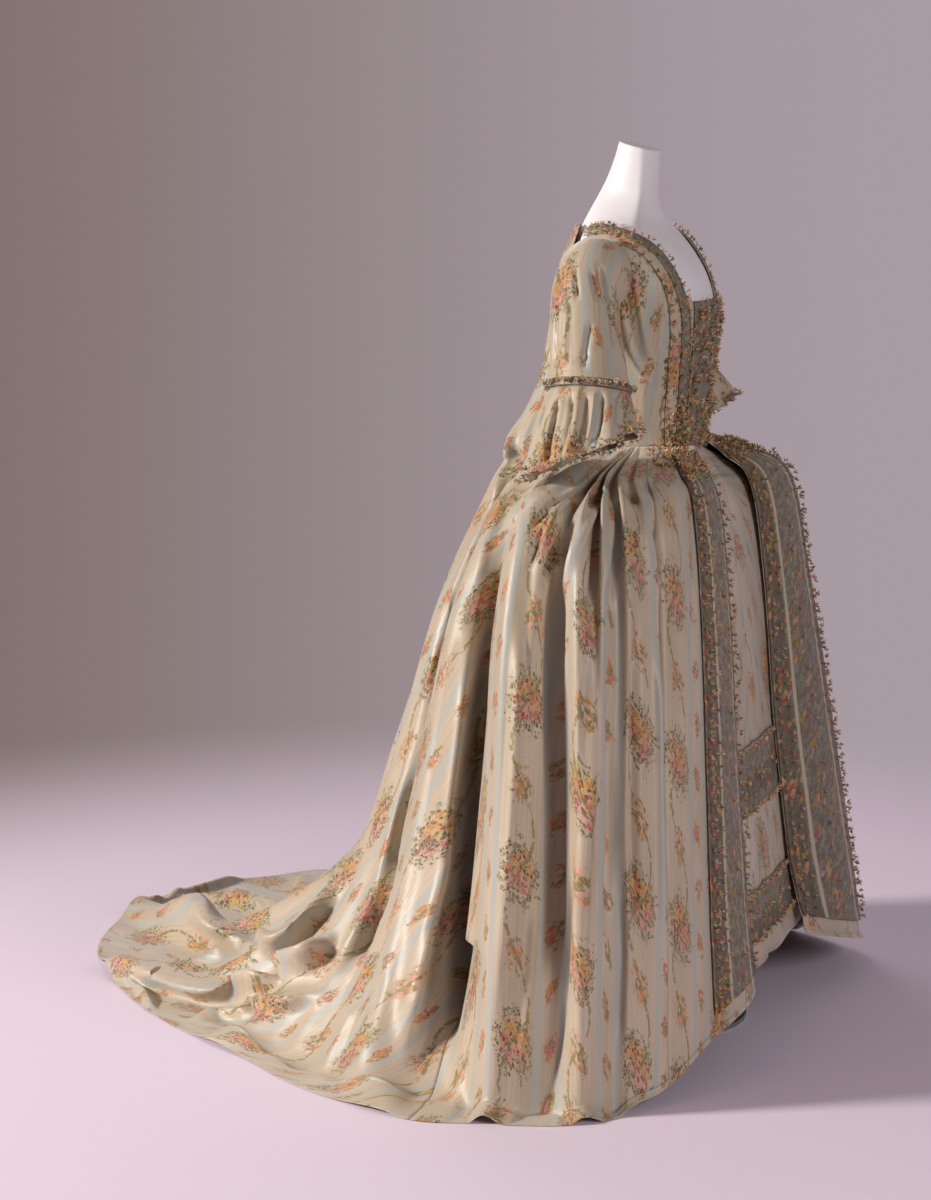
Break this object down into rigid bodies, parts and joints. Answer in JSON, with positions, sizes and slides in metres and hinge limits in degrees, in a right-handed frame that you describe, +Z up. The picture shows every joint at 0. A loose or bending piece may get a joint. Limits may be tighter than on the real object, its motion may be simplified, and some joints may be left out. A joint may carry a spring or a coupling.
{
  "type": "robe a la francaise on a dress form",
  "caption": "Open gown with pleated sack back and train, over a petticoat, with lace furbelows and elbow flounces, worn by a limbless dress form.",
  "frame": {"origin": "centre of the underside of the stand's base, on the floor below the dress form", "axes": "+Z up, the gown faces -Y, the wearer's left is +X, the train runs towards +Y and swings to +X"},
  "size_m": [1.6037, 1.4669, 1.5286],
  "materials": {
    "silk": "ribbed ivory silk with brocaded flowers",
    "lace": "grey gold metallic lace",
    "fringe": "mixed coloured fly fringe",
    "form": "smooth white",
    "steel": "satin dark grey"
  },
  "bodies": {
    "root": {"band_left": "lace", "band_right": "lace", "bodice_left": "silk", "bodice_right": "silk", "dress_form": "form", "flounce_left": "silk", "flounce_right": "silk", "furbelow_lower": "lace", "furbelow_upper": "lace", "gown_back": "silk", "gown_front_left": "silk", "gown_front_right": "silk", "gown_side_left": "silk", "gown_side_right": "silk", "petticoat": "silk", "robing_left": "lace", "robing_right": "lace", "sleeve_band_left": "lace", "sleeve_band_right": "lace", "sleeve_left": "silk", "sleeve_right": "silk", "stand_base": "steel", "stand_pole": "steel", "stomacher": "silk", "stomacher_trim": "fringe"}
  },
  "joints": []
}
